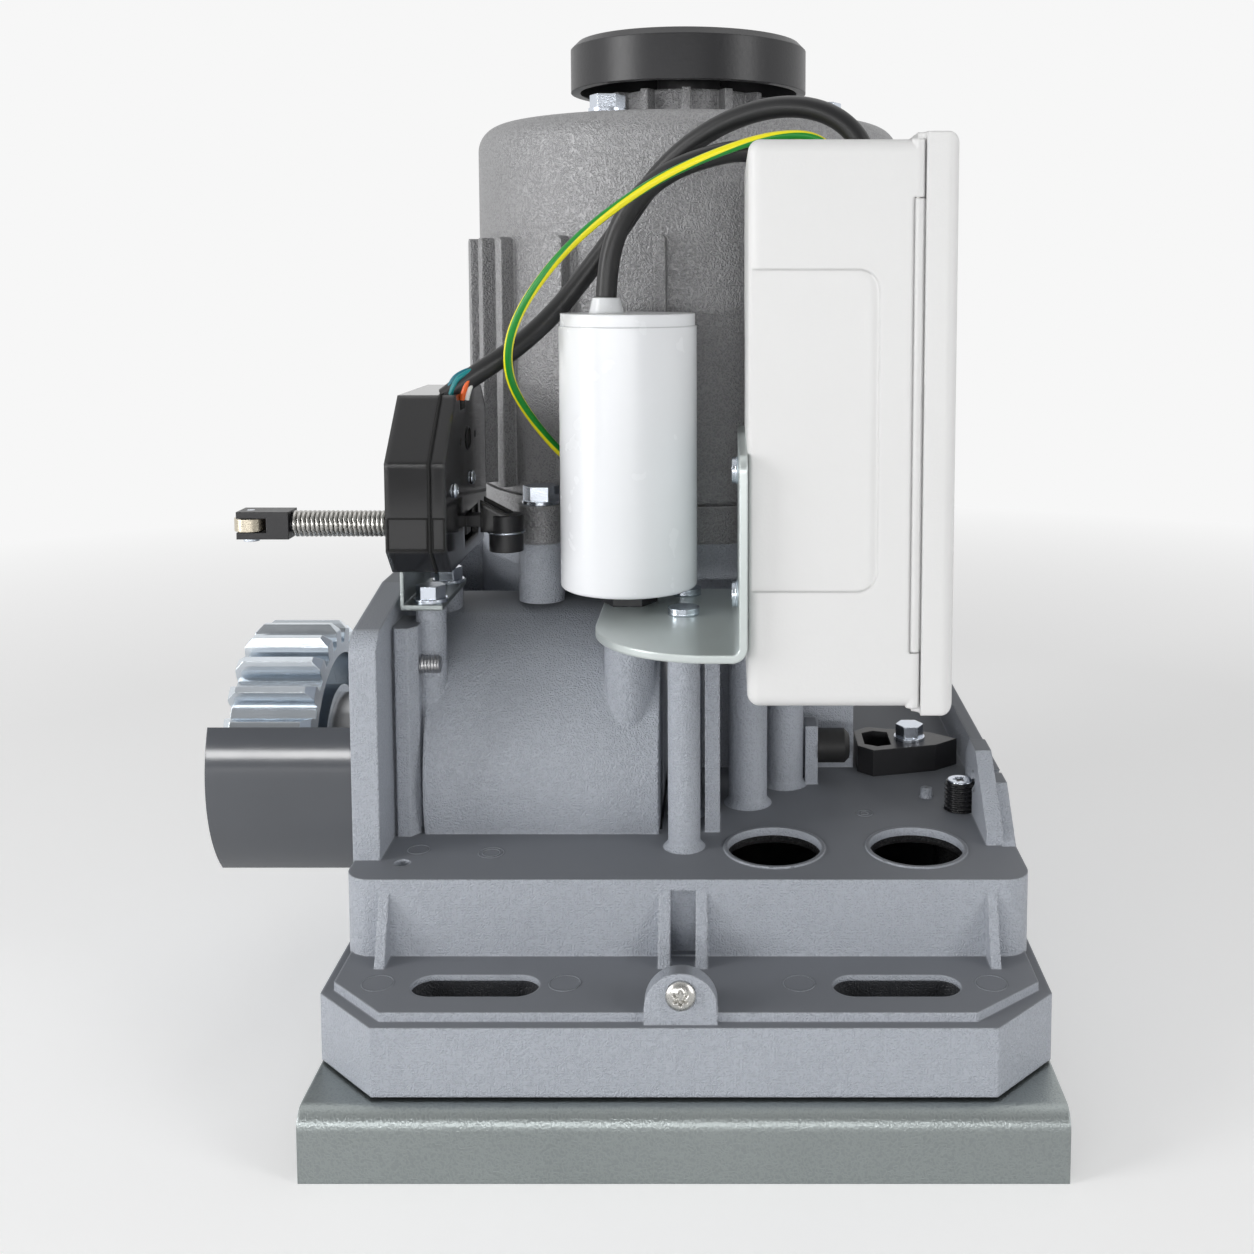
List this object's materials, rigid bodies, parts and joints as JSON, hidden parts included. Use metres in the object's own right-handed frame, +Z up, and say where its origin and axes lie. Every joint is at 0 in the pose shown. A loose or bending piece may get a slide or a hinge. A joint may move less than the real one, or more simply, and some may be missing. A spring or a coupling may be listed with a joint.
{
  "type": "sliding gate motor",
  "caption": "Sliding gate motor: upright electric motor on a worm gearbox that drives a rack pinion, with a control box, starting capacitor and sprung limit switch.",
  "frame": {"origin": "centre of the four foundation bolts, at the level of the foundation that the base plate stands on", "axes": "+X towards the control box (the rack pinion is at -X), +Y towards the motor's back, away from the capacitor's side, +Z up along the motor's shaft"},
  "size_m": [0.2997, 0.35, 0.383],
  "materials": {
    "painted_casting": "blue-grey textured paint on cast aluminium",
    "raw_casting": "bare sand-cast aluminium",
    "zinc_sheet": "galvanised folded sheet",
    "gear_zinc": "bright zinc plating",
    "plated_steel": "blue-white zinc plating",
    "stainless": "plain stainless",
    "black_steel": "black oxide",
    "ground_steel": "ground",
    "guard_paint": "dark grey gloss paint",
    "bronze": "cast bronze, hobbed",
    "iron_laminations": "varnished sheet stack",
    "copper": "varnished windings",
    "rubber": "black moulded rubber",
    "white_plastic": "off-white moulded plastic",
    "can_plastic": "pale glossy moulded case",
    "black_plastic": "black moulded plastic",
    "grey_plastic": "grey moulded plastic",
    "board": "green laminate",
    "terminal_green": "green moulded blocks",
    "roller_brass": "turned brass",
    "cable_black": "smooth dark sheath",
    "earth_green": "green and yellow sheath"
  },
  "bodies": {
    "housing": {"base_plate": "zinc_sheet", "gearbox_housing": "painted_casting", "wheel_cover": "painted_casting", "output_bearings": "ground_steel", "worm_bearings": "ground_steel", "shaft_seal": "rubber", "motor_flange": "raw_casting", "motor_frame": "raw_casting", "motor_bearings": "ground_steel", "stator_core": "iron_laminations", "stator_windings": "copper", "motor_bolts": "plated_steel", "tie_bolts": "plated_steel", "levelling_screws": "black_steel", "buffer": "rubber", "cable_clamp": "black_plastic", "clamp_bolt": "plated_steel", "cover_screw": "stainless", "pinion_guard": "guard_paint", "capacitor_bracket": "zinc_sheet", "bracket_screws": "plated_steel", "capacitor_nut": "plated_steel", "capacitor": "can_plastic", "capacitor_cap": "can_plastic", "control_box": "white_plastic", "hinge_pins": "stainless", "circuit_board": "board", "transformer": "black_plastic", "terminal_blocks": "terminal_green", "switch_body": "grey_plastic", "switch_cover": "grey_plastic", "lever_pin": "ground_steel", "microswitches": "black_plastic", "limit_bracket": "zinc_sheet", "limit_bolts": "plated_steel", "wall_stud": "plated_steel", "capacitor_cable": "cable_black", "limit_switch_cable": "cable_black", "earth_wire": "earth_green", "earth_screw": "stainless"},
    "rotor": {"rotor_shaft": "ground_steel", "rotor_core": "iron_laminations", "motor_pinion": "ground_steel", "flywheel": "black_plastic", "flywheel_nut": "plated_steel"},
    "worm": {"worm_shaft": "ground_steel", "worm_gear": "ground_steel"},
    "output": {"output_shaft": "ground_steel", "worm_wheel": "bronze", "rack_pinion": "gear_zinc", "pinion_key": "ground_steel", "pinion_bolt": "plated_steel"},
    "limit_lever": {"lever_core": "black_plastic", "lever_arm": "black_plastic", "lever_spring": "plated_steel", "roller_clevis": "black_plastic", "roller_rivet": "plated_steel"},
    "roller": {"limit_roller": "roller_brass"},
    "lid": {"control_box_lid": "white_plastic"}
  },
  "joints": [
    {"name": "rotor_spin", "type": "hinge", "parent": "housing", "child": "rotor", "pos_m": [-0.00375, 0.0455, 0.3], "axis": [0, 0, 1], "continuous": true},
    {"name": "worm_spin", "type": "hinge", "parent": "housing", "child": "worm", "pos_m": [-0.05475, 0.0455, 0.093], "axis": [0, 0, 1], "continuous": true},
    {"name": "output_spin", "type": "hinge", "parent": "housing", "child": "output", "pos_m": [-0.05475, -0.03, 0.093], "axis": [1, 0, 0], "continuous": true},
    {"name": "limit_lever_swing", "type": "hinge", "parent": "housing", "child": "limit_lever", "pos_m": [-0.095, -0.06, 0.1873], "axis": [0, 0, 1], "range_deg": [-25, 25], "stiffness_Nm_per_rad": 0.3},
    {"name": "roller_spin", "type": "hinge", "parent": "limit_lever", "child": "roller", "pos_m": [-0.1678, -0.06, 0.1873], "axis": [0, 0, 1], "continuous": true},
    {"name": "lid_open", "type": "hinge", "parent": "housing", "child": "lid", "pos_m": [0.07275, -0.1478, 0.233], "axis": [0, 0, -1], "range_deg": [0, 95]}
  ],
  "couplings": [
    {"joint": "worm_spin", "follows": "rotor_spin", "ratio": -0.5},
    {"joint": "output_spin", "follows": "rotor_spin", "ratio": 0.014706}
  ]
}
